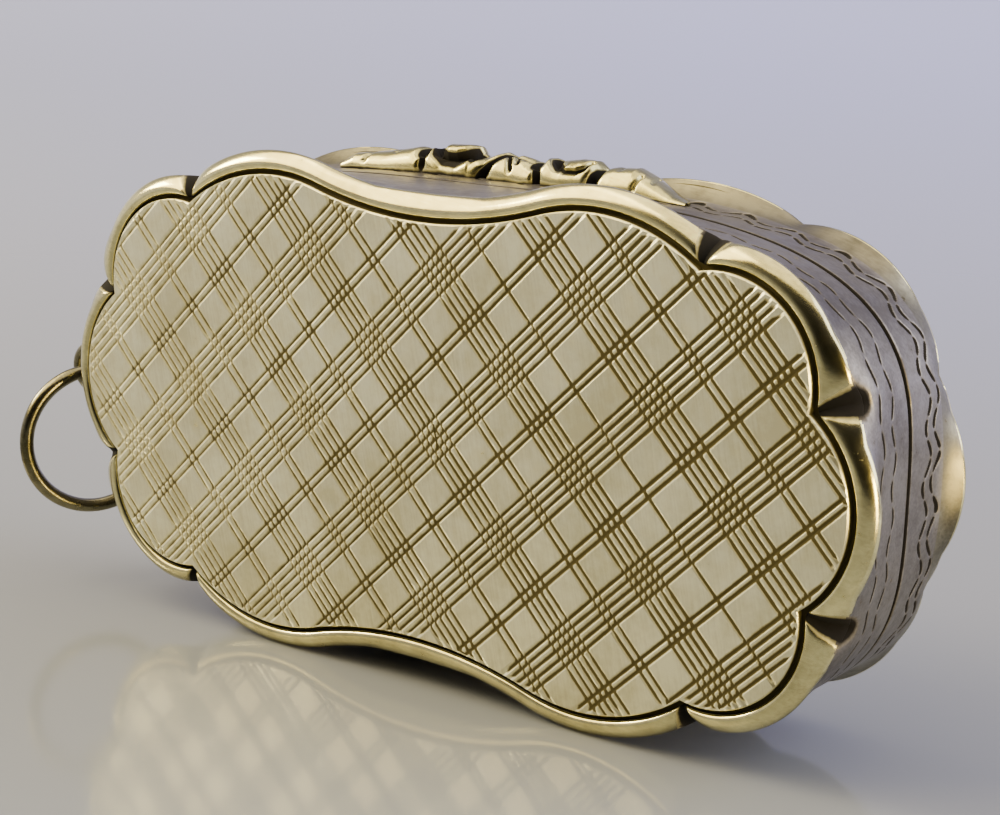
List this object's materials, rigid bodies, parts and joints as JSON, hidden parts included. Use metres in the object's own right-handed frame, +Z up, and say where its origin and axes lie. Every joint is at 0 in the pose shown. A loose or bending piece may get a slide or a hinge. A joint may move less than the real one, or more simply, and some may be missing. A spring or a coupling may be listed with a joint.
{
  "type": "silver vinaigrette",
  "caption": "Small waisted silver box with lobed ends, plaid-engraved base, hinged lid with foliate thumbpiece, gilt pierced grille over a sponge, and a suspension ring.",
  "frame": {"origin": "centre of the engraved base panel", "axes": "+X along the case away from the suspension ring, +Y through the case from the base panel to the lid panel, +Z up to the thumbpiece as the box stands on its hinged side"},
  "size_m": [0.0423, 0.0089, 0.0212],
  "materials": {
    "silver": "hand-polished sterling silver, warm tarnish, dark dirt in grooves and engraving",
    "gilt_silver": "fire-gilt silver, satin",
    "sponge": "dry natural sponge, open pores"
  },
  "bodies": {
    "base": {"base_plate": "silver", "base_rim": "silver", "base_wall": "silver", "base_bezel": "silver", "grille_ledge": "silver", "base_hinge_tubes": "silver", "lid_hinge_pin": "silver", "ring_lug": "silver", "grille_hinge_brackets": "gilt_silver", "grille_hinge_pin": "gilt_silver", "sponge": "sponge"},
    "lid": {"lid_plate": "silver", "lid_rim": "silver", "lid_wall": "silver", "lid_hinge_tubes": "silver", "thumbpiece": "silver"},
    "grille": {"grille": "gilt_silver", "grille_hinge_tube": "gilt_silver", "grille_tab": "gilt_silver"},
    "ring": {"suspension_ring": "silver"}
  },
  "joints": [
    {"name": "lid_hinge", "type": "hinge", "parent": "base", "child": "lid", "pos_m": [0, 0.00385, -0.0098], "axis": [-1, 0, 0], "range_deg": [0, 100]},
    {"name": "grille_hinge", "type": "hinge", "parent": "base", "child": "grille", "pos_m": [0, 0.00425, -0.00728], "axis": [-1, 0, 0], "range_deg": [0, 60]},
    {"name": "ring_swing", "type": "hinge", "parent": "base", "child": "ring", "pos_m": [-0.02085, 0.0021, -0.00073], "axis": [0.4067, 0.9135, 0], "range_deg": [0, 165]}
  ],
  "couplings": [
    {"joint": "grille_hinge", "follows": "lid_hinge", "ratio": 0.6}
  ]
}
